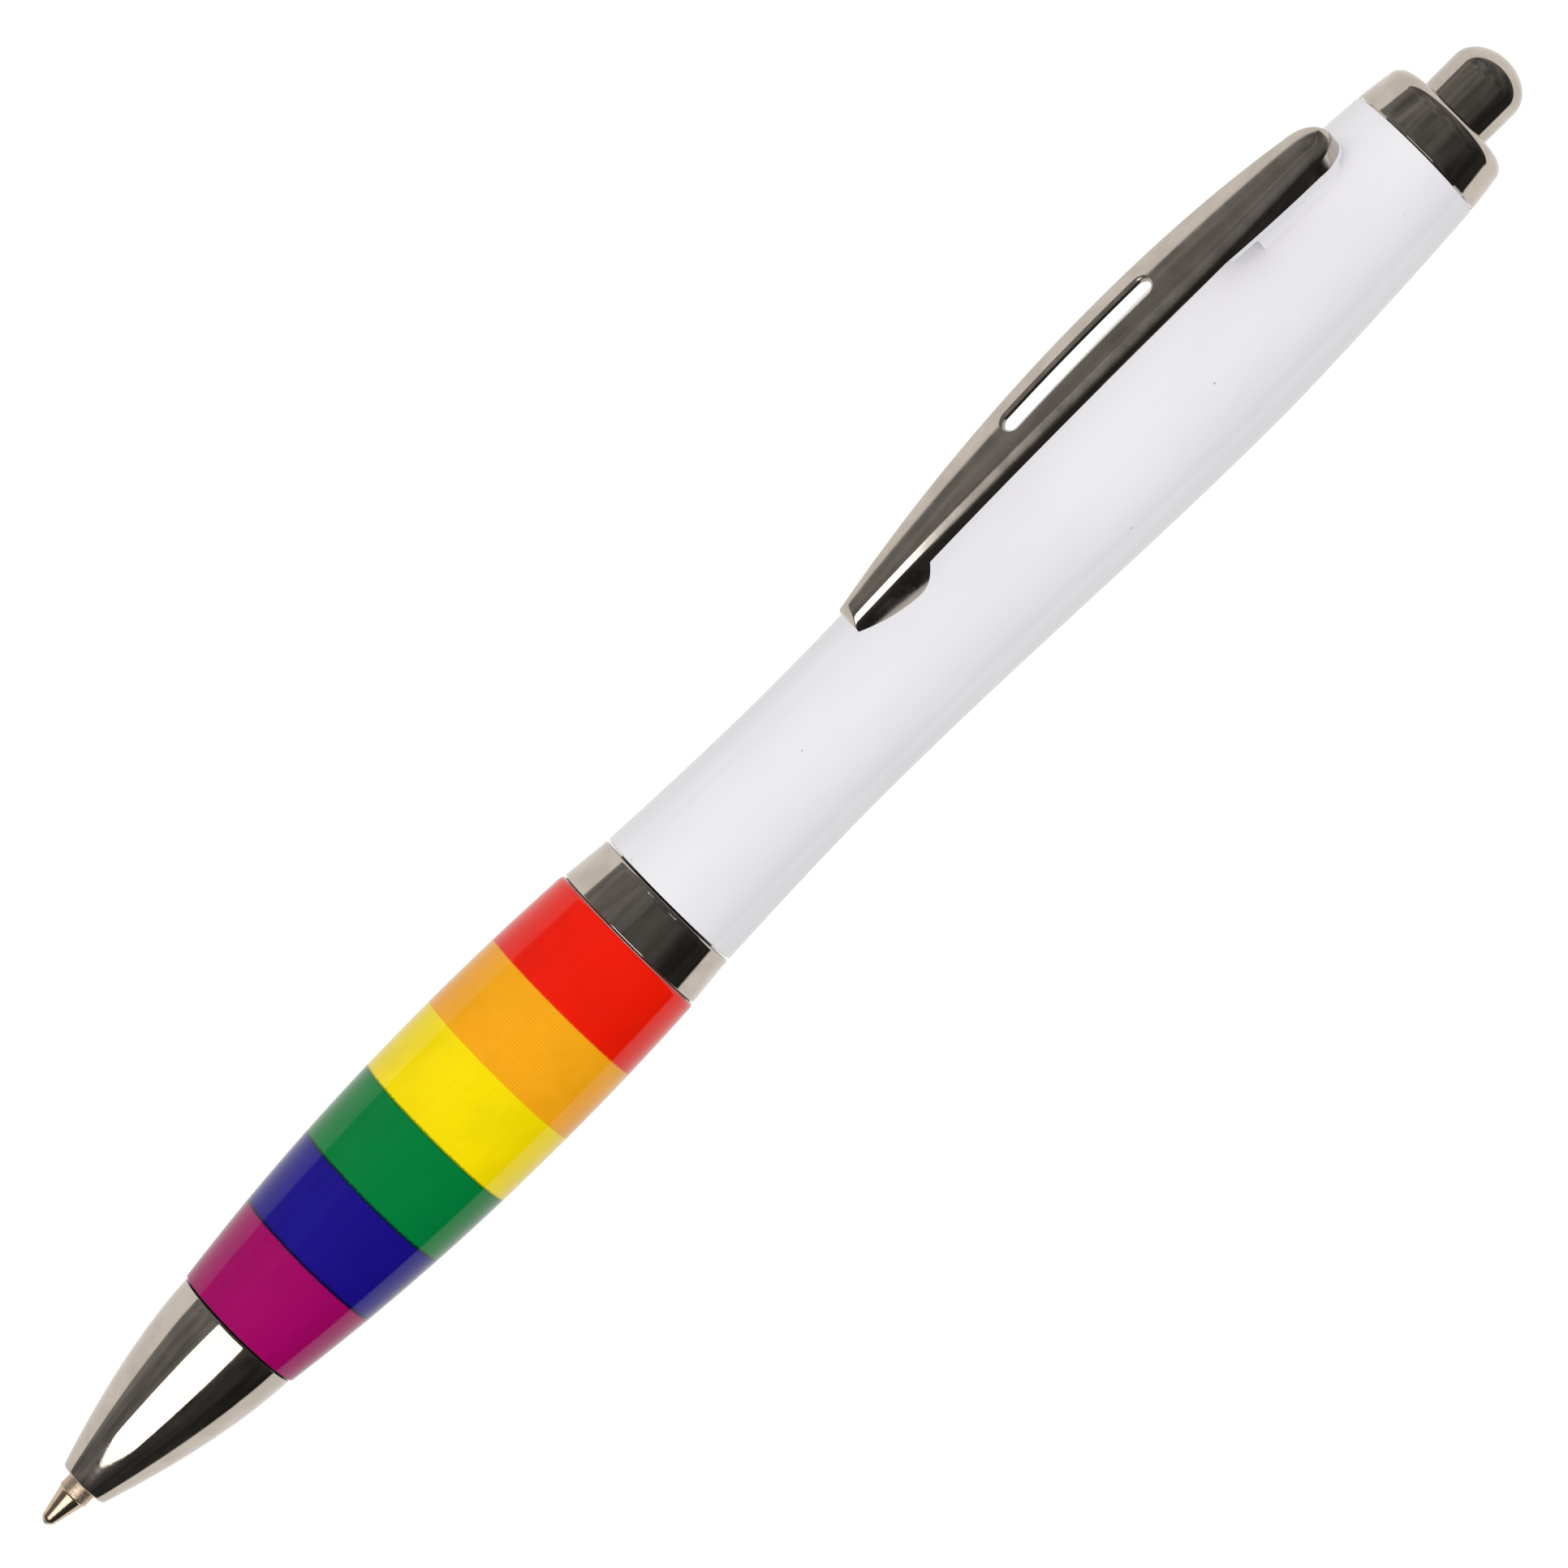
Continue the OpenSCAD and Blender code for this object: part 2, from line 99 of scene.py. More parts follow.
NOSE_FRONT_R = 1.87
GRIP_FRONT_R, GRIP_REAR_R, BELLY = 5.05, 6.22, 43.5
GRIP_CORNER = 0.45
WAIST, WAIST_R, SHOULDER = 74.5, 5.3, 112.5
BARREL_FRONT_R, BARREL_END_R = 5.76, 5.42
CAP_FRONT_R, CAP_REAR_R, CAP_FLAT_R, CAP_CORNER = 5.4, 5.06, 3.8, 1.1


def quarter(x):
    """Height of a unit quarter circle, x away from its middle."""
    return math.sqrt(max(0.0, 1 - x**2))


def edge_drop(radius, inside):
    """How far a rounded edge has fallen below its face, at a distance inside the outline."""
    if inside >= radius:
        return 0.0
    return radius - math.sqrt(max(0.0, radius**2 - (radius - max(inside, 0)) ** 2))


def turns(first, last, step):
    """Angles in radians, from a list of degrees that stops before last."""
    return [math.radians(a) for a in range(first, last, step)]


def nose_radius(z):
    return swell(z, NOSE_END, NOSE_R, NOSE_FRONT, NOSE_FRONT_R, 1.6)


def grip_radius(z):
    if z < BELLY:
        return swell(z, BELLY, GRIP_R, NOSE_END, GRIP_FRONT_R, 2.1)
    into_corner = max(0.0, z - BAND_START + GRIP_CORNER)
    drop = GRIP_CORNER - math.sqrt(max(0.0, GRIP_CORNER**2 - into_corner**2))
    return swell(z, BELLY, GRIP_R, BAND_START, GRIP_REAR_R, 2) - drop


def barrel_radius(z):
    if z < WAIST:
        return swell(z, WAIST, WAIST_R, BARREL_START, BARREL_FRONT_R, 1.6)
    if z < SHOULDER:
        return wave(z, WAIST, WAIST_R, SHOULDER, SHOULDER_R)
    return swell(z, SHOULDER, SHOULDER_R, BARREL_END, BARREL_END_R, 1.45)


def cap_radius(z):
    """A gentle taper, then a round rear corner."""
    corner = CAP_END - CAP_CORNER
    if z < corner:
        return swell(z, BARREL_END, CAP_FRONT_R, corner, CAP_REAR_R, 1.2)
    return CAP_FLAT_R + (CAP_REAR_R - CAP_FLAT_R) * quarter((z - corner) / CAP_CORNER)


def stations(a, b, count):
    return [a + (b - a) * i / count for i in range(count + 1)]


def rounded(corners, steps=6):
    """An outline with its corners rounded.

    Each corner is (station, radius) or (station, radius, rounding).
    """
    points = []
    for i, corner in enumerate(corners):
        here = Vector(corner[:2])
        rounding = corner[2] if len(corner) > 2 else 0
        if not rounding:
            points.append(tuple(here))
            continue
        before = (Vector(corners[i - 1][:2]) - here).normalized() * rounding
        after = (Vector(corners[(i + 1) % len(corners)][:2]) - here).normalized() * rounding
        for k in range(steps + 1):
            t = k / steps
            points.append(tuple(here + before * (1 - t) ** 2 + after * t**2))
    return points


# ---------------------------------------------------------------- mesh tools


def new_piece(name, verts, faces, merge=2e-8):
    """A smooth mesh object with its doubled points merged and all its faces turned outwards."""
    mesh = bpy.data.meshes.new(name)
    mesh.from_pydata(verts, [], faces)
    mesh.validate()
    work = bmesh.new()
    work.from_mesh(mesh)
    bmesh.ops.remove_doubles(work, verts=work.verts, dist=merge)
    loose = [v for v in work.verts if not v.link_faces]
    bmesh.ops.delete(work, geom=loose, context="VERTS")
    bmesh.ops.recalc_face_normals(work, faces=work.faces)
    work.to_mesh(mesh)
    work.free()
    mesh.shade_smooth()
    mesh.set_sharp_from_angle(angle=math.radians(SHARP_DEG))
    obj = bpy.data.objects.new(name, mesh)
    bpy.context.scene.collection.objects.link(obj)
    return obj


def place(z, y, h):
    """Row-frame position of station z, sideways y and height h above the centre line."""
    return (TIP_X + z * MM, y * MM, AXIS_Z + h * MM)


def turned(name, outline, segments=160, ripple=None):
    """A closed solid of revolution about the pen's centre line. ripple(z, r, turn) may change a radius."""
    verts, faces = [], []
    count = len(outline)
    for k in range(segments):
        turn = 2 * math.pi * k / segments
        for z, r in outline:
            if ripple:
                r = ripple(z, r, turn)
            verts.append(place(z, -r * math.sin(turn), r * math.cos(turn)))
    for k in range(segments):
        near, far = k * count, ((k + 1) % segments) * count
        for i in range(count):
            j = (i + 1) % count
            on_axis = outline[i][1] < 1e-6, outline[j][1] < 1e-6
            if all(on_axis):
                continue
            if on_axis[0]:
                faces.append((i, near + j, far + j))
            elif on_axis[1]:
                faces.append((near + i, j, far + i))
            else:
                faces.append((near + i, near + j, far + j, far + i))
    return new_piece(name, verts, faces)


def paint(obj, material):
    obj.data.materials.clear()
    obj.data.materials.append(material)


def fit(obj, body, slot, material, *nodes):
    """Puts a finished piece on its body in place of its CAD nodes."""
    paint(obj, material)
    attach(obj, body)
    if nodes:
        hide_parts(*nodes)


# ---------------------------------------------------------------- material tools


class Shader:
    """A Principled material with short names for the nodes it uses."""

    def __init__(self, name, **values):
        self.material = bpy.data.materials.new(name)
        self.material.use_nodes = True
        self.tree = self.material.node_tree
        self.bsdf = self.tree.nodes["Principled BSDF"]
        for socket, value in values.items():
            self.bsdf.inputs[socket.replace("_", " ")].default_value = value
        places = self.tree.nodes.new("ShaderNodeTexCoord").outputs
        self.coords, self.normals = places["Object"], places["Normal"]

    def link(self, source, node, socket):
        if isinstance(source, (int, float)):
            node.inputs[socket].default_value = source
        elif isinstance(source, tuple):
            node.inputs[socket].default_value = (*source, 1)
        else:
            self.tree.links.new(source, node.inputs[socket])

    def to(self, socket, source):
        self.tree.links.new(source, self.bsdf.inputs[socket])

    def stretched(self, x, y, z):
        """Coordinates in millimetres, each way multiplied."""
        node = self.tree.nodes.new("ShaderNodeMapping")
        self.tree.links.new(self.coords, node.inputs["Vector"])
        node.inputs["Scale"].default_value = (x / MM, y / MM, z / MM)
        return node.outputs["Vector"]

    def after(self, station, blend):
        """0 in front of a station and 1 behind it, blended over some millimetres."""
        x = self.split(self.coords)["X"]
        middle = TIP_X + station * MM
        return self.ramp(x, middle - blend * MM / 2, middle + blend * MM / 2)

    def noise(self, vector, scale, detail=3, rough=0.55):
        node = self.tree.nodes.new("ShaderNodeTexNoise")
        self.tree.links.new(vector, node.inputs["Vector"])
        node.inputs["Scale"].default_value = scale
        node.inputs["Detail"].default_value = detail
        node.inputs["Roughness"].default_value = rough
        return node.outputs["Fac"]

    def cells(self, vector, scale):
        """Distance from the nearest point of a scatter."""
        node = self.tree.nodes.new("ShaderNodeTexVoronoi")
        self.tree.links.new(vector, node.inputs["Vector"])
        node.inputs["Scale"].default_value = scale
        return node.outputs["Distance"]

    def math(self, operation, a, b=0.0):
        node = self.tree.nodes.new("ShaderNodeMath")
        node.operation = operation
        self.link(a, node, 0)
        self.link(b, node, 1)
        return node.outputs[0]

    def ramp(self, source, low, high, to_low=0.0, to_high=1.0):
        """Goes smoothly from to_low to to_high as source goes from low to high."""
        node = self.tree.nodes.new("ShaderNodeMapRange")
        node.interpolation_type = "SMOOTHSTEP"
        self.link(source, node, "Value")
        for socket, value in (("From Min", low), ("From Max", high), ("To Min", to_low), ("To Max", to_high)):
            node.inputs[socket].default_value = value
        return node.outputs["Result"]

    def mix(self, factor, a, b):
        node = self.tree.nodes.new("ShaderNodeMix")
        node.data_type = "RGBA"
        self.link(factor, node, 0)
        self.link(a, node, 6)
        self.link(b, node, 7)
        return node.outputs[2]

    def split(self, vector):
        node = self.tree.nodes.new("ShaderNodeSeparateXYZ")
        self.tree.links.new(vector, node.inputs[0])
        return node.outputs

    def around(self, vector, radius):
        """Arc length round the pen's centre line, in millimetres, at a nominal radius."""
        axes = self.split(vector)
        height = self.math("SUBTRACT", axes["Z"], AXIS_Z / MM)
        return self.math("MULTIPLY", self.math("ARCTAN2", axes["Y"], height), radius)

    def wave(self, source, pitch):
        """A sine of source with the given pitch, from 0 to 1."""
        sine = self.math("SINE", self.math("MULTIPLY", source, 2 * math.pi / pitch))
        return self.math("MULTIPLY", self.math("ADD", sine, 1.0), 0.5)

    def bump(self, height, distance_mm):
        node = self.tree.nodes.new("ShaderNodeBump")
        node.inputs["Strength"].default_value = 1.0
        node.inputs["Distance"].default_value = distance_mm * MM
        self.tree.links.new(height, node.inputs["Height"])
        self.to("Normal", node.outputs["Normal"])


DUST, SATIN_START, SATIN_BLEND = (0.3, 0.28, 0.25), 89.5, 4


def plated(name, color, roughness, peel_mm, satin_edge=0.0):
    """Dark nickel plating: fine orange peel, faint haze, pits, hairline scratches and specks of dust.

    satin_edge roughens the rounded edges that face halfway between sideways and up, behind SATIN_START.
    """
    s = Shader(name, Metallic=1.0)
    even = s.stretched(1, 1, 1)
    haze = s.noise(even, 0.5, 4)
    specks = s.ramp(s.cells(even, 2.3), 0.04, 0.09, 1, 0)
    some = s.ramp(s.noise(even, 0.8, 2), 0.48, 0.6)
    specks = s.math("MULTIPLY", specks, some)
    scratch_field = s.noise(s.stretched(0.25, 3, 3), 2.2, 2)
    scratches = s.ramp(s.math("ABSOLUTE", s.math("SUBTRACT", scratch_field, 0.5)), 0.0, 0.004, 1, 0)
    thin = s.math("MULTIPLY", scratches, s.ramp(s.noise(even, 0.35, 2), 0.52, 0.66))
    darker = tuple(c * 0.92 for c in color)
    lighter = tuple(min(1, c * 1.05) for c in color)
    tone = s.mix(s.ramp(haze, 0.35, 0.65), darker, lighter)
    s.to("Base Color", s.mix(s.math("MULTIPLY", specks, 0.35), tone, DUST))
    rough = s.ramp(haze, 0.3, 0.7, roughness * 0.7, roughness * 1.4)
    rough = s.math("ADD", rough, s.math("MULTIPLY", thin, 0.12))
    rough = s.math("ADD", rough, s.math("MULTIPLY", specks, 0.2))
    if satin_edge:
        sideways = s.math("ABSOLUTE", s.split(s.normals)["Y"])
        edge = s.math("MULTIPLY", s.ramp(sideways, 0.35, 0.55), s.ramp(sideways, 0.8, 0.95, 1, 0))
        edge = s.math("MULTIPLY", edge, s.after(SATIN_START, SATIN_BLEND))
        grain = s.ramp(s.noise(even, 14, 2), 0.35, 0.65, 0.75, 1)
        rough = s.math("ADD", rough, s.math("MULTIPLY", s.math("MULTIPLY", edge, grain), satin_edge))
    s.to("Roughness", rough)
    peel = s.noise(even, 2.8, 4, 0.6)
    pits = s.math("MULTIPLY", specks, 2.5)
    s.bump(s.math("SUBTRACT", s.math("SUBTRACT", peel, s.math("MULTIPLY", thin, 0.15)), pits), peel_mm)
    return s.material


def white_gloss():
    """Glossy white moulding: slight ripple, a soft cool cast in places, and a few brown specks."""
    warm, cool, brown = (0.865, 0.85, 0.875), (0.835, 0.82, 0.855), (0.22, 0.15, 0.13)
    s = Shader("white_gloss", IOR=1.5, Specular_IOR_Level=0.4)
    even = s.stretched(1, 1, 1)
    cloud = s.noise(s.stretched(0.35, 1, 1), 0.16, 3)
    tone = s.mix(s.ramp(cloud, 0.35, 0.65), cool, warm)
    speck_here = s.ramp(s.cells(even, 0.42), 0.02, 0.045, 1, 0)
    rare = s.ramp(s.noise(even, 0.21, 1), 0.5, 0.58)
    speck = s.math("MULTIPLY", speck_here, rare)
    s.to("Base Color", s.mix(s.math("MULTIPLY", speck, 0.6), tone, brown))
    s.to("Roughness", s.ramp(s.noise(even, 1.3, 3), 0.3, 0.7, 0.07, 0.13))
    s.bump(s.noise(s.stretched(0.4, 1, 1), 0.45, 3), 0.003)
    return s.material


def printed(name, color, second, streak, screen, edges):
    """Glossy printed film. second is the ink that shows through as streaks and as the print's screen.

    screen is (kind, pitch, how strongly), and edges lists (station, width, colour) of overprint lines.
    """
    kind, pitch, strength = screen
    s = Shader(name, IOR=1.5, Specular_IOR_Level=0.3)
    even = s.stretched(1, 1, 1)
    streaks = s.noise(s.stretched(0.045, 1, 1), 7.5, 3, 0.75)
    cloud = s.noise(even, 0.3, 3)
    tone = s.mix(s.ramp(cloud, 0.3, 0.7), tuple(c * 0.93 for c in color), color)
    tone = s.mix(s.ramp(streaks, 0.5, 0.78, 0, streak), tone, second)
    along = s.split(even)["X"]
    turn = s.around(even, GRIP_R)
    if kind == "dots":
        pattern = s.math("MULTIPLY", s.wave(along, pitch), s.wave(turn, pitch))
    else:
        pattern = s.wave(s.math("ADD", along, turn), pitch)
    patchy = s.ramp(s.noise(even, 0.9, 3), 0.3, 0.7, strength * 0.5, strength)
    tone = s.mix(s.math("MULTIPLY", pattern, patchy), tone, second)
    tooth_depth = 0.22
    teeth = s.noise(s.stretched(0.2, 1, 1), 4.5, 3, 0.7)
    jagged = s.math("ADD", along, s.math("MULTIPLY", s.math("SUBTRACT", teeth, 0.5), tooth_depth))
    for station, width, ink_color in edges:
        gap = s.math("ABSOLUTE", s.math("SUBTRACT", jagged, TIP_X / MM + station))
        tone = s.mix(s.ramp(gap, width * 0.3, width, 0.9, 0), tone, ink_color)
    s.to("Base Color", tone)
    s.to("Roughness", s.ramp(streaks, 0.3, 0.8, 0.05, 0.11))
    s.bump(s.noise(s.stretched(0.25, 1, 1), 1.6, 3), 0.0015)
    return s.material


def turned_metal(name, color, roughness, line_mm, ring=True, satin_from=None):
    """Turned or drawn metal: fine rings or lines left by the tool, and rougher past station satin_from."""
    s = Shader(name, Metallic=1.0)
    lines = s.noise(s.stretched(1, 0.03, 0.03) if ring else s.stretched(0.03, 1, 1), 9, 3, 0.7)
    haze = s.noise(s.stretched(1, 1, 1), 1.4, 3)
    s.to("Base Color", s.mix(s.ramp(haze, 0.3, 0.7), tuple(c * 0.82 for c in color), color))
    rough = s.ramp(lines, 0.3, 0.7, roughness * 0.7, roughness * 1.5)
    if satin_from is not None:
        speckle = s.ramp(s.noise(s.stretched(1, 1, 1), 7, 2), 0.35, 0.65, 0.2, 0.42)
        rough = s.math("ADD", rough, s.math("MULTIPLY", s.after(satin_from, 0.1), speckle))
    s.to("Roughness", rough)
    s.bump(lines, line_mm)
    return s.material


def moulded(name, color, roughness):
    """Plain moulded plastic with a fine grain."""
    s = Shader(name, Roughness=roughness, IOR=1.48)
    grain = s.noise(s.stretched(1, 1, 1), 7, 3)
    cloud = s.noise(s.stretched(1, 1, 1), 0.5, 3)
    s.to("Base Color", s.mix(s.ramp(cloud, 0.3, 0.7), tuple(c * 0.85 for c in color), color))
    s.to("Roughness", s.ramp(grain, 0.3, 0.7, roughness * 0.85, min(1, roughness * 1.2)))
    s.bump(grain, 0.006)
    return s.material


# ---------------------------------------------------------------- turned pieces


def build_nose():
    hole, spring_r, socket_r = 1.22, 2.75, 4.1
    spring_front, socket_front = 8.7, 15
    past_corner, rear = NOSE_FRONT + 0.6, NOSE_END - NOSE_GAP
    front = rounded([
        (NOSE_FRONT, hole, 0.1), (NOSE_FRONT, NOSE_FRONT_R, 0.16), (past_corner, nose_radius(past_corner)),
    ])
    side = [(z, nose_radius(z)) for z in stations(NOSE_FRONT + 0.9, NOSE_END - 0.45, 40)]
    back = rounded([
        (NOSE_END - 0.3, NOSE_R - 0.005), (rear, NOSE_R - 0.01, 0.05), (rear, socket_r),
        (socket_front, socket_r), (socket_front, spring_r), (spring_front, spring_r), (spring_front, hole),
    ])
    fit(turned("nose", front + side + back), "front", "dark_chrome", plating, "nose_cone")


def build_point():
    """The writing point: a crimp domed over the ball, a cone, and a rougher straight stretch."""
    dome_z, dome_r = 0.62, 0.56
    cone_end, cone_end_r, radius, neck = 2.72, 1.075, 1.14, 10.2
    dome = [(dome_z - dome_r * math.sin(a), dome_r * math.cos(a)) for a in turns(50, 10, -6)]
    cone = rounded([
        dome[-1], (cone_end - 0.05, cone_end_r, 0.05), (cone_end + 0.03, radius, 0.03), (neck, radius),
    ])
    hollow = [(neck, 0.42), (0.6, 0.42), (0.5, 0.37), (0.26, 0.34)]
    piece = turned("point", dome + cone[1:] + hollow, 96)
    fit(piece, "refill", "point_metal", point_metal, "point_body")


def build_film(hue, first, last, material):
    """One colour of the film: outer skin, ends, and inner skin against the grip."""
    thick = 0.17
    places = stations(first, last, 24)
    if last > BAND_START - 1:
        corner = [BAND_START - SEAM - GRIP_CORNER * (1 - math.sin(a)) for a in turns(0, 81, 10)]
        places = stations(first, BAND_START - GRIP_CORNER - 0.1, 24) + corner
    outer = [(z, grip_radius(z)) for z in places]
    inner = [(z, r - thick) for z, r in reversed(outer)]
    piece = turned("skin_" + hue, outer + inner, 192)
    fit(piece, "front", "print_" + hue, material, "film_" + hue)


def build_band():
    """The tapered ring between the pen's halves. Its rear flares slightly and ends in a lip."""
    hub, front_r, taper_r, lip_r, rear_r = 4.33, 6.12, 5.84, 5.81, 5.7
    flare, flare_len, lip = 0.05, 0.24, 0.14
    front, rear = BAND_START + 0.04, BAND_END - 0.02
    outline = rounded([
        (front, hub), (front, front_r, 0.1), (rear - lip - flare_len, taper_r - flare, 0.08),
        (rear - lip, lip_r, 0.04), (rear, rear_r, 0.05), (rear, hub),
    ])
    fit(turned("band", outline), "band", "dark_chrome", plating, "centre_band")


def build_barrel():
    bore, rear_bore, step = 4.3, 4.5, 100
    front, rear = BARREL_START + SEAM, BARREL_END - 0.02
    past_corner = front + 0.24
    start = rounded([
        (front, bore), (front, BARREL_FRONT_R - 0.01, 0.14), (past_corner, barrel_radius(past_corner)),
    ])
    outer = [(z, barrel_radius(z)) for z in stations(front + 0.25, rear - 0.2, 120)]
    inner = rounded([
        (rear, barrel_radius(rear) - 0.02, 0.1), (rear, rear_bore), (step, rear_bore), (step, bore),
        (front, bore),
    ])
    piece = turned("barrel_shell", start[1:] + outer + inner, 192)
    fit(piece, "barrel", "white_plastic", white, "upper_barrel")


def build_cap():
    bore, spigot, spigot_r = BUTTON_R + 0.09, start_of("top_cap"), 4.37
    front, corner = BARREL_END + SEAM + 0.06, CAP_END - CAP_CORNER
    places = stations(front + 0.1, corner, 16)
    places += [corner + CAP_CORNER * math.sin(a) for a in turns(6, 87, 6)]
    outline = rounded([(spigot, spigot_r), (front, spigot_r), (front, CAP_FRONT_R - 0.01, 0.06)])
    outline += [(z, cap_radius(z)) for z in places]
    outline += rounded([(CAP_END, CAP_FLAT_R), (CAP_END, bore, 0.12), (spigot, bore)])
    fit(turned("rear_cap", outline), "barrel", "dark_chrome", plating, "top_cap")


def build_button():
    dome, bore, bore_end = 2.2, 2.35, 136
    front, dome_z = start_of("push_button"), BUTTON_END - dome
    outline = rounded([(front, bore), (front, BUTTON_R, 0.1)]) + [(dome_z - 1, BUTTON_R)]
    outline += [(dome_z + dome * math.sin(a), BUTTON_R * math.cos(a)) for a in turns(0, 90, 5)]
    outline += [(BUTTON_END, 0), (bore_end, 0), (bore_end, bore)]
    fit(turned("button", outline, 144), "button", "dark_chrome", plating, "push_button")


def build_core():
    """The inner tube, with the screw thread that the upper barrel turns on."""
    pitch, root, crest = 1.4, 3.9, 4.19
    front, bore, front_r, collar_r, hub_r = 15.3, 3.15, 4, 4.44, 4.29
    thread_start, thread_end = BAND_END + 0.5, end_of("core_tube")

    def thread(z, r, turn):
        """A ridge with sloping sides that fades out at both ends."""
        if not thread_start < z < thread_end - 0.1 or r < root:
            return r
        phase = (z / pitch - turn / (2 * math.pi)) % 1
        fade = min(1, (z - thread_start) / 0.7, (thread_end - z) / 0.7)
        return root + (crest - root) * fade * max(0, min(1, 2.2 - 4.4 * abs(phase - 0.5)))

    outline = [(front, bore), (front, front_r), (NOSE_END, front_r), (NOSE_END, collar_r)]
    outline += [(BAND_START, collar_r), (BAND_START, hub_r), (thread_start - 0.1, hub_r)]
    outline += [(thread_start, root)]
    outline += [(z, root) for z in stations(thread_start + 0.07, thread_end - 0.1, 90)]
    outline += [(thread_end, root - 0.1), (thread_end, bore)]
    piece = turned("inner_tube", outline, 128, thread)
    fit(piece, "front", "black_plastic", black, "core_tube")


# ---------------------------------------------------------------- clip and its boss

CLIP_PEAK, CLIP_ARC, CROWN_R = 108, 144.7, 6.6
CLIP_WIDEST, CLIP_TIP_HALF = 108.6, 1.1
HEEL, HEEL_HALF, HEEL_DROP = 125.1, 1.7, 0.5
SLOT_START, SLOT_END, SLOT_HALF, SLOT_RIM = 98.33, 112.06, 0.7, 0.22
CLIP_EDGE, WALL_H, SKIN, TIP_H = 0.8, 1.35, 0.5, 0.95
CHANNEL_START, CHANNEL_END, CHANNEL_BLEND = 90, 115.8, 0.5
ROOT, ROOT_SLOPE = 116.5, 0.175
BUMP, BUMP_H, BUMP_END = 86.3, 5.79, 88.5
WALL_DRAFT = 0.04


def clip_back(z):
    """Height of the clip's back along its middle, with the heel rolling down at the root."""
    height = CLIP_TOP - CLIP_ARC + math.sqrt(CLIP_ARC**2 - (z - CLIP_PEAK) ** 2)
    if z > HEEL:
        height -= HEEL_DROP * (1 - quarter((z - HEEL) / (CLIP_ROOT - HEEL)))
    return height


def clip_width(z):
    """Half of the clip's width."""
    if z < CLIP_WIDEST:
        return swell(z, CLIP_WIDEST, CLIP_HALF, CLIP_TIP, CLIP_TIP_HALF, 1.9)
    if z < HEEL:
        return swell(z, CLIP_WIDEST, CLIP_HALF, HEEL, HEEL_HALF, 2.3)
    return HEEL_HALF * quarter((z - HEEL) / (CLIP_ROOT - HEEL))


def clip_under(z):
    """Height of the clip's lowest edge: a bump near the free end, the side walls, and the sloping root."""
    if z < BUMP:
        return BUMP_H + (clip_back(CLIP_TIP) - TIP_H - BUMP_H) * ((BUMP - z) / (BUMP - CLIP_TIP)) ** 2
    if z < BUMP_END:
        return BUMP_H + (clip_back(BUMP_END) - WALL_H - BUMP_H) * ((z - BUMP) / (BUMP_END - BUMP)) ** 2.4
    return clip_back(min(z, ROOT)) - WALL_H - ROOT_SLOPE * max(0, z - ROOT)


def channel_roof(z, y):
    """Height of the hollow under the clip's back. It closes down to the lowest edge at its ends."""
    inside = min(z - CHANNEL_START, CHANNEL_END - z) / CHANNEL_BLEND
    depth = wave(max(0.0, min(1.0, inside)), 0, 0, 1, 1)
    roof = clip_back(z) - y * y / (2 * CROWN_R) - SKIN
    return clip_under(z) + depth * max(0.0, roof - clip_under(z))


def slot_half(z):
    """Half of the slot's width at station z, with its round ends."""
    inside = min(z - SLOT_START, SLOT_END - z)
    if inside <= 0:
        return 0.0
    return math.sqrt(max(0.0, SLOT_HALF**2 - max(0.0, SLOT_HALF - inside) ** 2))


def slot_distance(z, y):
    """How far a point on the back is from the slot's outline."""
    nearest = min(max(z, SLOT_START + SLOT_HALF), SLOT_END - SLOT_HALF)
    return math.hypot(z - nearest, y) - SLOT_HALF


def clip_height(z, y):
    """Height of the clip's back with its crown, rounded edges and the slot's rounded rim."""
    near = 0.01
    slope = (clip_width(min(z + near, CLIP_ROOT)) - clip_width(z - near)) / (2 * near)
    edge = min((clip_width(z) - abs(y)) / math.sqrt(1 + slope**2), z - CLIP_TIP)
    drop = y * y / (2 * CROWN_R)
    drop += edge_drop(CLIP_EDGE, edge)
    drop += edge_drop(SLOT_RIM, slot_distance(z, y))
    return clip_back(z) - drop


def clip_stations():
    """Stations along the clip, closer together where its outline turns quickly."""
    near_tip = [CLIP_TIP + CLIP_EDGE * (1 - math.cos(a)) for a in turns(0, 91, 9)]
    plain = stations(CLIP_TIP + CLIP_EDGE + 0.1, SLOT_START - 0.4, 84)
    slot_front = stations(SLOT_START - 0.3, SLOT_START, 8) + [
        SLOT_START + SLOT_HALF * (1 - math.cos(a)) for a in turns(8, 91, 6)
    ]
    slot = stations(SLOT_START + SLOT_HALF + 0.15, SLOT_END - SLOT_HALF - 0.15, 50)
    slot_back = [SLOT_START + SLOT_END - z for z in reversed(slot_front)]
    after = stations(SLOT_END + 0.4, HEEL - 0.1, 60)
    heel = [HEEL + (CLIP_ROOT - HEEL) * math.sin(a) for a in turns(0, 91, 3)]
    return near_tip + plain + slot_front + slot + slot_back + after + heel


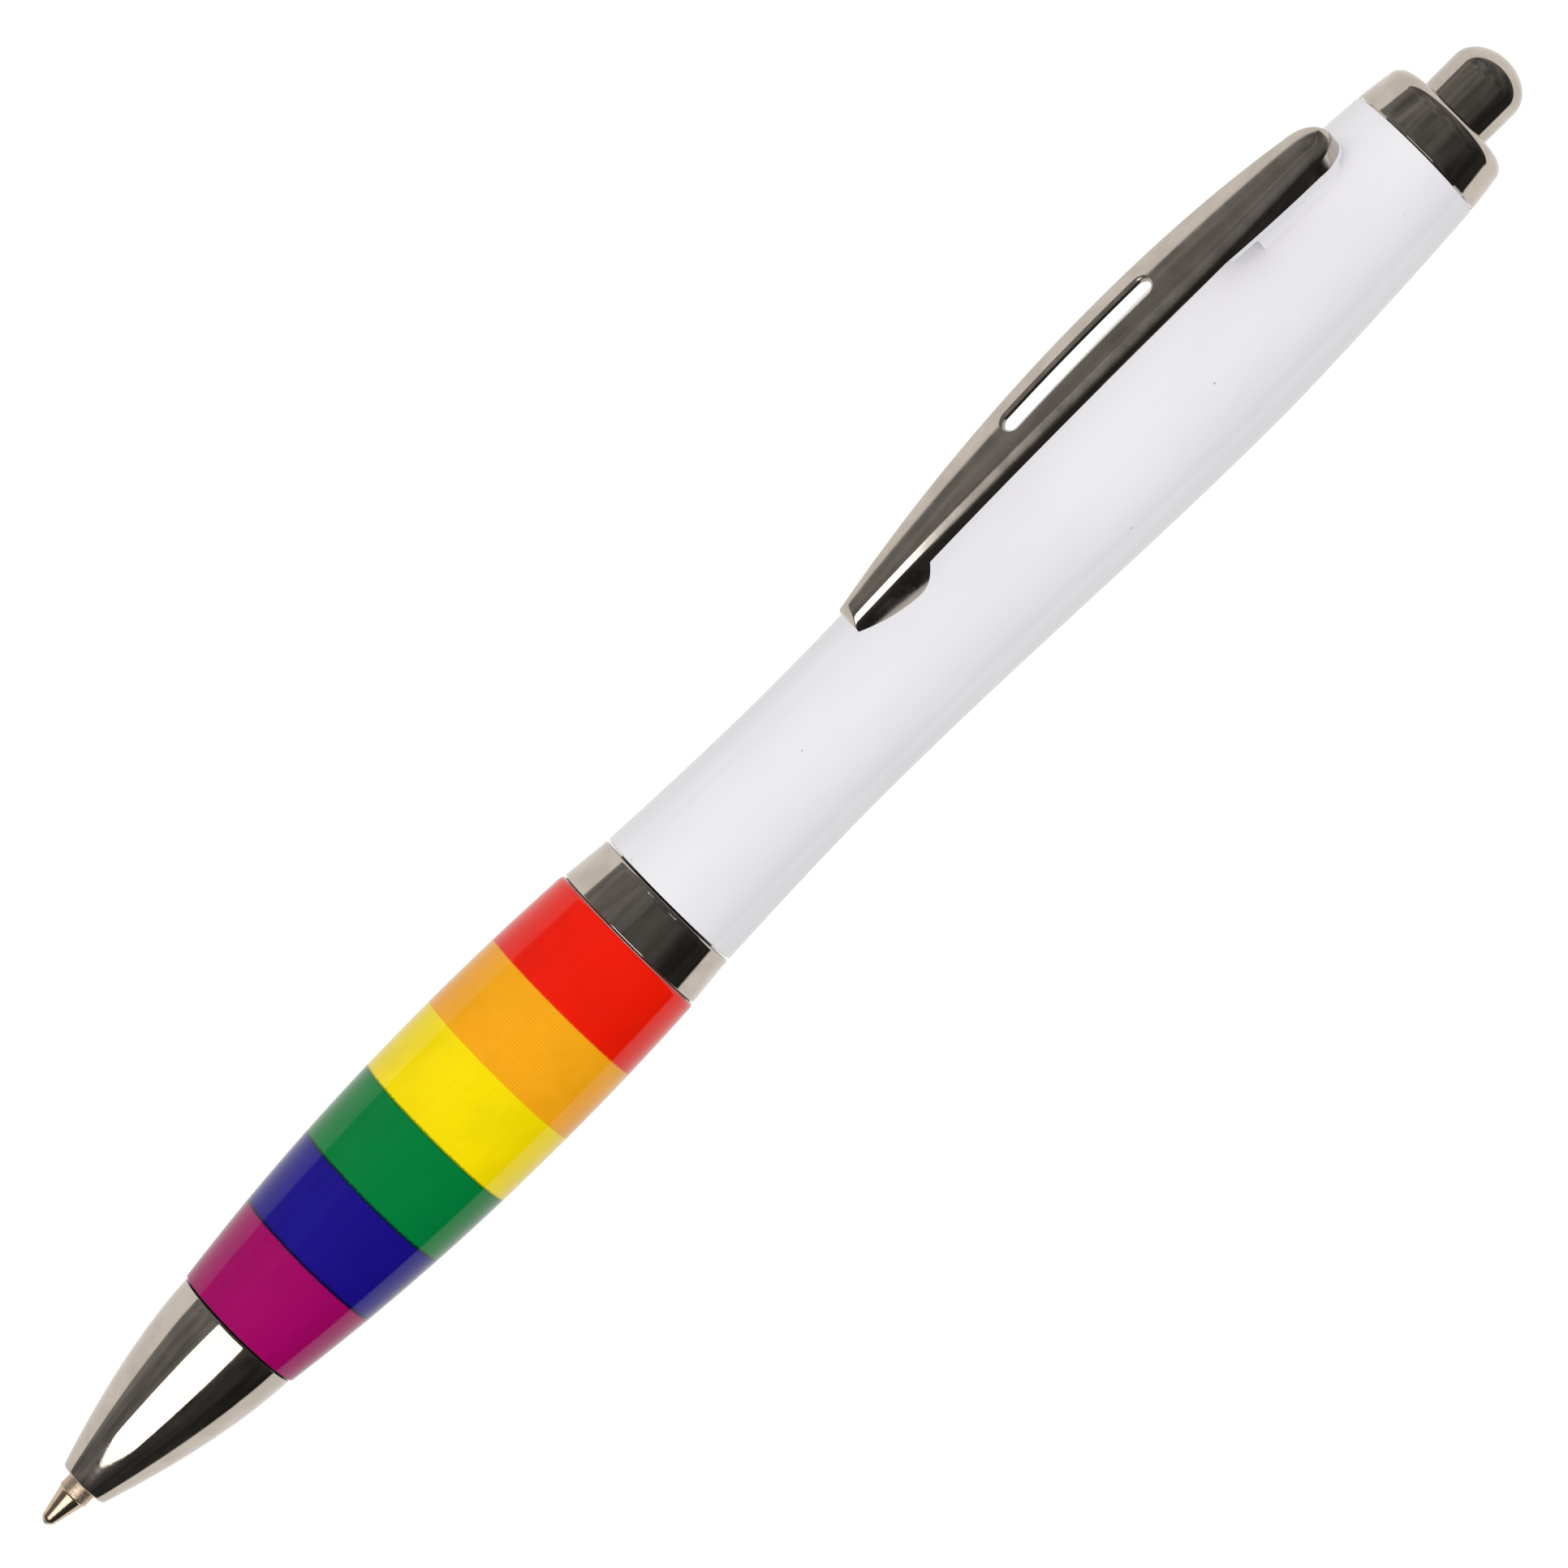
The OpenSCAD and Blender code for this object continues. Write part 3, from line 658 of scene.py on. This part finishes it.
def build_clip():
    """The clip as one closed skin of strips across the bar, open along the slot.

    Each row has n points over the back, from the slot to the outer edge, and n under it: all but three cross
    the channel's roof, and the last three cross the foot of the side wall.
    """
    across = [0, 0.02, 0.045, 0.075, 0.11, 0.16, 0.22, 0.3, 0.4, 0.48, 0.56]
    across += [0.62 + 0.38 * math.sin(a) for a in turns(0, 91, 6)]
    verts, faces = [], []
    rows = clip_stations()
    n = len(across)
    for z in rows:
        inner, outer = slot_half(z), clip_width(z)
        for side in (1, -1):
            for v in across:
                y = inner + (outer - inner) * v
                verts.append(place(z, side * y, clip_height(z, y)))
            wall = max(inner, outer - SKIN)
            for v in across[:-3]:
                y = inner + (wall - inner) * v / across[-4]
                verts.append(place(z, side * y, channel_roof(z, y)))
            foot = outer + WALL_DRAFT * min(1, outer / HEEL_HALF)
            for y in (wall, (wall + foot) / 2, foot):
                verts.append(place(z, side * y, clip_under(z)))
    stride = 4 * n

    def at(row, side, under, k):
        return row * stride + (0 if side > 0 else 2 * n) + (n if under else 0) + k

    for i in range(len(rows) - 1):
        for side in (1, -1):
            for under in (False, True):
                for k in range(n - 1):
                    faces.append((at(i, side, under, k), at(i + 1, side, under, k),
                                  at(i + 1, side, under, k + 1), at(i, side, under, k + 1)))
            faces.append((at(i, side, False, n - 1), at(i + 1, side, False, n - 1),
                          at(i + 1, side, True, n - 1), at(i, side, True, n - 1)))
            if slot_half(rows[i]) > 0 or slot_half(rows[i + 1]) > 0:
                faces.append((at(i, side, False, 0), at(i + 1, side, False, 0),
                              at(i + 1, side, True, 0), at(i, side, True, 0)))
    for side in (1, -1):
        for k in range(n - 1):
            faces.append((at(0, side, False, k), at(0, side, False, k + 1),
                          at(0, side, True, k + 1), at(0, side, True, k)))
    piece = new_piece("pocket_clip", verts, faces, 1e-7)
    piece.visible_diffuse = False
    fit(piece, "clip", "clip_chrome", clip_plating, "clip")


def seat_block(name, outline, top, bottom, rounding):
    """A block with rounded top edges on a closed outline. top(z) and bottom(z) are its heights."""
    rings = [None] + turns(0, 91, 15)
    verts, faces = [], []
    middle = sum(z for z, _ in outline) / len(outline)
    for a in rings:
        inset = 0 if a is None else rounding * (1 - math.cos(a))
        for z, y in outline:
            z += inset if z < middle else -inset
            y -= math.copysign(min(inset, abs(y)), y)
            h = bottom(z) if a is None else top(z) - rounding * (1 - math.sin(a))
            verts.append(place(z, y, h))
    count = len(outline)
    for i in range(len(rings) - 1):
        for k in range(count):
            j = (k + 1) % count
            faces.append((i * count + k, i * count + j, (i + 1) * count + j, (i + 1) * count + k))
    faces.append(tuple(range(count)))
    faces.append(tuple(len(verts) - count + k for k in range(count)))
    return new_piece(name, verts, faces)


def build_seat():
    """The barrel's seat for the clip: a thin plate parallel to the clip's root, on a narrower block."""
    gap, thick, inset = 0.1, 0.45, 0.1
    start, base_start, base_end, base_half, base_foot = 116.85, 119.15, 127, 1.65, 5.0

    def under(z):
        return clip_under(min(z, CLIP_ROOT)) - gap

    side = stations(start, HEEL, 24)
    side += [HEEL + (CLIP_ROOT - HEEL) * math.sin(a) for a in turns(6, 85, 6)]
    half = [(z, clip_width(z) - inset) for z in side]
    outline = half + [(CLIP_ROOT - inset, 0)] + [(z, -y) for z, y in reversed(half)]
    plate = seat_block("clip_seat_plate", outline, under, lambda z: under(z) - thick, 0.08)
    fit(plate, "barrel", "white_plastic", white)

    round_end = base_end - base_half
    outline = [(base_start, base_half)]
    outline += [(round_end + base_half * math.cos(a), base_half * math.sin(a)) for a in turns(90, -91, -6)]
    outline += [(base_start, -base_half)]
    base = seat_block("clip_seat_base", outline, lambda z: under(z) - thick + 0.02, lambda z: base_foot, 0.03)
    fit(base, "barrel", "white_plastic", white)


# ---------------------------------------------------------------- light, floor and camera

VIEW_UP_DEG = 50
CAMERA_MM = 590
CAMERA_X, AIM_X = 15, 0.96
FIELD_DEG, ROLL_DEG = 10.27, 44.97
WHITE = (1, 1, 1)


def toward_camera(turn_deg=0):
    """Direction from the pen to the camera, turned about the pen towards its clip."""
    up = math.radians(VIEW_UP_DEG + turn_deg)
    return Vector((0, -math.cos(up), math.sin(up)))


def build_camera():
    """Looks down on the pen, rolled so that the pen climbs from lower left to upper right."""
    foot = Vector((CAMERA_X * MM, 0, AXIS_Z))
    target = Vector((AIM_X * MM, 0, AXIS_Z))
    eye = foot + toward_camera() * CAMERA_MM * MM
    back = (eye - target).normalized()
    along = (Vector((1, 0, 0)) - back * back.x).normalized()
    across = back.cross(along)
    roll = math.radians(ROLL_DEG)
    right = along * math.cos(roll) - across * math.sin(roll)
    up = along * math.sin(roll) + across * math.cos(roll)
    data = bpy.data.cameras.new("camera")
    data.sensor_fit = "HORIZONTAL"
    data.angle = math.radians(FIELD_DEG)
    data.clip_start, data.clip_end = 0.01, 20
    camera = bpy.data.objects.new("camera", data)
    rotation = Matrix((right, up, back)).transposed().to_4x4()
    camera.matrix_world = Matrix.Translation(eye) @ rotation
    bpy.context.scene.collection.objects.link(camera)
    bpy.context.scene.camera = camera


def build_floor():
    """A white floor with a faint contact shadow. Only the camera sees it, so it doesn't light the pen."""
    size, glow, dark, light = 4.0, 0.98, (0.13, 0.13, 0.13), (0.14, 0.14, 0.14)
    mesh = bpy.data.meshes.new("floor")
    corners = [(-size, -size, 0), (size, -size, 0), (size, size, 0), (-size, size, 0)]
    mesh.from_pydata(corners, [], [(0, 1, 2, 3)])
    floor = bpy.data.objects.new("floor", mesh)
    bpy.context.scene.collection.objects.link(floor)
    s = Shader("floor", Roughness=0.9)
    s.bsdf.inputs["Specular IOR Level"].default_value = 0.0
    s.bsdf.inputs["Emission Color"].default_value = (*WHITE, 1)
    s.bsdf.inputs["Emission Strength"].default_value = glow
    s.to("Base Color", s.mix(s.noise(s.stretched(1, 1, 1), 0.02, 2), dark, light))
    mesh.materials.append(s.material)
    floor.visible_glossy = False
    floor.visible_diffuse = False


def build_softbox():
    """A soft light on the camera's side of the pen, towards the point. It lights only the shiny metal."""
    centre_x, centre_out, away_deg, length, width, radiance = -0.24, 0.42, 26, 0.29, 0.478, 2.4
    away = math.radians(away_deg)
    direction = toward_camera() * math.cos(away) - Vector((1, 0, 0)) * math.sin(away)
    across = toward_camera().cross(Vector((1, 0, 0))).normalized()
    along = across.cross(direction).normalized()
    data = bpy.data.lights.new("softbox", "AREA")
    data.shape = "RECTANGLE"
    data.size, data.size_y = width, length
    data.energy = radiance * math.pi * width * length
    light = bpy.data.objects.new("softbox", data)
    rotation = Matrix((across, -along, direction)).transposed().to_4x4()
    centre = Vector((centre_x, 0, AXIS_Z)) + toward_camera() * centre_out
    light.matrix_world = Matrix.Translation(centre) @ rotation
    light.visible_camera = False
    light.visible_diffuse = False
    bpy.context.scene.collection.objects.link(light)
    shiny = bpy.data.collections.new("softbox_receivers")
    for name in ("nose", "point", "band", "rear_cap", "button", "pocket_clip", "writing_ball"):
        shiny.objects.link(bpy.data.objects[name])
    light.light_linking.receiver_collection = shiny


class Sky:
    """The world's nodes. Every number depends only on a direction in the room.

    Any number here may be a plain value or another node's output.
    """

    def __init__(self):
        self.world = bpy.data.worlds.new("studio")
        bpy.context.scene.world = self.world
        self.world.use_nodes = True
        self.tree = self.world.node_tree
        self.tree.nodes.clear()
        self.coords = self.tree.nodes.new("ShaderNodeTexCoord").outputs["Generated"]

    def set(self, socket, value):
        if isinstance(value, (int, float)):
            socket.default_value = value
        else:
            self.tree.links.new(value, socket)

    def facing(self, direction):
        node = self.tree.nodes.new("ShaderNodeVectorMath")
        node.operation = "DOT_PRODUCT"
        self.tree.links.new(self.coords, node.inputs[0])
        node.inputs[1].default_value = direction
        return node.outputs["Value"]

    def level(self, source, low, high, at_low, at_high, smooth=False):
        node = self.tree.nodes.new("ShaderNodeMapRange")
        node.interpolation_type = "SMOOTHSTEP" if smooth else "LINEAR"
        self.tree.links.new(source, node.inputs["Value"])
        for socket, value in (("From Min", low), ("From Max", high), ("To Min", at_low), ("To Max", at_high)):
            self.set(node.inputs[socket], value)
        return node.outputs["Result"]

    def patches(self, scale):
        node = self.tree.nodes.new("ShaderNodeTexNoise")
        self.tree.links.new(self.coords, node.inputs["Vector"])
        node.inputs["Scale"].default_value = scale
        node.inputs["Detail"].default_value = 3
        return node.outputs["Fac"]

    def math(self, operation, *values):
        node = self.tree.nodes.new("ShaderNodeMath")
        node.operation = operation
        for socket, value in zip(node.inputs, values):
            self.set(socket, value)
        return node.outputs[0]

    def glow(self, color, strength):
        node = self.tree.nodes.new("ShaderNodeBackground")
        node.inputs["Color"].default_value = (*color, 1)
        self.set(node.inputs["Strength"], strength)
        return node.outputs[0]

    def choose(self, factor, otherwise, chosen):
        node = self.tree.nodes.new("ShaderNodeMixShader")
        self.tree.links.new(factor, node.inputs["Fac"])
        self.tree.links.new(otherwise, node.inputs[1])
        self.tree.links.new(chosen, node.inputs[2])
        return node.outputs[0]


def build_world():
    """A white dome, dimmer from below. Reflections see a dark room in front, and white behind and below."""
    sky = Sky()
    front = sky.facing(toward_camera(5))
    ahead = sky.level(front, -0.3, 1, 0.37, 1.27)
    behind = sky.level(front, -1, -0.3, 0.7, 0.37)
    dome = sky.math("MAXIMUM", ahead, behind)
    room = sky.level(sky.facing(toward_camera(90)), -0.9, 0.9, 0.03, 0.21)
    room = sky.math("MULTIPLY", room, sky.level(sky.patches(3.2), 0.32, 0.68, 0.5, 1.4))
    edge = sky.facing(toward_camera(-6.5))
    mirrored = sky.level(edge, -0.115, -0.04, 0.98, room, smooth=True)
    ray = sky.tree.nodes.new("ShaderNodeLightPath")
    bounced = sky.math("MINIMUM", ray.outputs["Diffuse Depth"], 1.0)
    direct = sky.math("MULTIPLY", ray.outputs["Is Glossy Ray"], sky.math("SUBTRACT", 1.0, bounced))
    seen = sky.choose(direct, sky.glow(WHITE, dome), sky.glow((1, 0.985, 0.96), mirrored))
    seen = sky.choose(ray.outputs["Is Camera Ray"], seen, sky.glow(WHITE, 1.05))
    out = sky.tree.nodes.new("ShaderNodeOutputWorld")
    sky.tree.links.new(seen, out.inputs["Surface"])
    bpy.context.scene.view_settings.view_transform = "Standard"


# ---------------------------------------------------------------- build

build_camera()
build_world()
build_floor()

DARK_NICKEL = (0.53, 0.475, 0.42)
plating = plated("dark_plating", DARK_NICKEL, 0.06, 0.001)
clip_plating = plated("clip_plating", DARK_NICKEL, 0.09, 0.0012, 0.24)
white = white_gloss()
black = moulded("black_plastic", (0.03, 0.03, 0.033), 0.45)
grey = moulded("grey_plastic", (0.3, 0.31, 0.33), 0.5)
milky = moulded("milky_plastic", (0.85, 0.85, 0.83), 0.4)
point_metal = turned_metal("nickel_silver", (0.66, 0.51, 0.38), 0.1, 0.0012, satin_from=2.75)
ball_metal = turned_metal("ball_metal", (0.5, 0.48, 0.46), 0.12, 0.0005)
refill_metal = turned_metal("refill_metal", (0.62, 0.6, 0.58), 0.2, 0.002, ring=False)
spring_metal = turned_metal("spring_metal", (0.6, 0.6, 0.6), 0.2, 0.002, ring=False)
ink = moulded("ink", (0.02, 0.03, 0.25), 0.15)
follower = moulded("follower", (0.8, 0.72, 0.5), 0.2)

build_nose()
build_point()

# Each colour, the ink that shows through it, how strongly it streaks, and the print's screen.
INKS = {
    "purple": ((0.375, 0.001, 0.125), (0.25, 0.001, 0.10), 0.25, ("lines", 0.22, 0.35)),
    "blue": ((0.011, 0.005, 0.245), (0.008, 0.003, 0.17), 0.25, ("lines", 0.25, 0.2)),
    "green": ((0.0, 0.215, 0.043), (0.0, 0.155, 0.037), 0.25, ("lines", 0.25, 0.2)),
    "yellow": ((0.98, 0.765, 0.0), (0.86, 0.61, 0.0), 0.5, ("dots", 0.21, 0.15)),
    "orange": ((0.97, 0.43, 0.010), (0.82, 0.27, 0.0), 0.25, ("dots", 0.21, 0.85)),
    "red": ((0.885, 0.011, 0.001), (0.72, 0.006, 0.002), 0.3, ("lines", 0.25, 0.15)),
}
# Overprint lines at a colour's start or end, as (where, width, colour).
OVERPRINT = {
    "purple": [("end", 0.1, (0.05, 0.003, 0.05))],
    "blue": [("start", 0.26, (0.004, 0.001, 0.03)), ("end", 0.1, (0.002, 0.004, 0.05))],
    "green": [("start", 0.24, (0.0, 0.012, 0.03)), ("end", 0.1, (0.0, 0.1, 0.01))],
    "yellow": [("start", 0.2, (0.09, 0.22, 0.0))],
    "orange": [],
    "red": [("start", 0.12, (0.86, 0.1, 0.01))],
}
for hue, (color, second, streak, screen) in INKS.items():
    node = "film_" + hue
    first, last = start_of(node), end_of(node)
    lines = [(first if where == "start" else last, width, over) for where, width, over in OVERPRINT[hue]]
    film = printed("print_" + hue, color, second, streak, screen, lines)
    build_film(hue, first, last, film)

build_band()
build_barrel()
build_seat()
build_cap()
build_button()
build_core()
build_clip()
build_softbox()

for node, material in {
    "writing_ball": ball_metal, "refill_tube": refill_metal, "ink_column": ink, "grease_follower": follower,
    "refill_end_plug": milky, "return_spring": spring_metal, "grip_sleeve": milky, "cam_sleeve": black,
    "ratchet_rotor": grey, "plunger": grey,
}.items():
    paint(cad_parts[node], material)
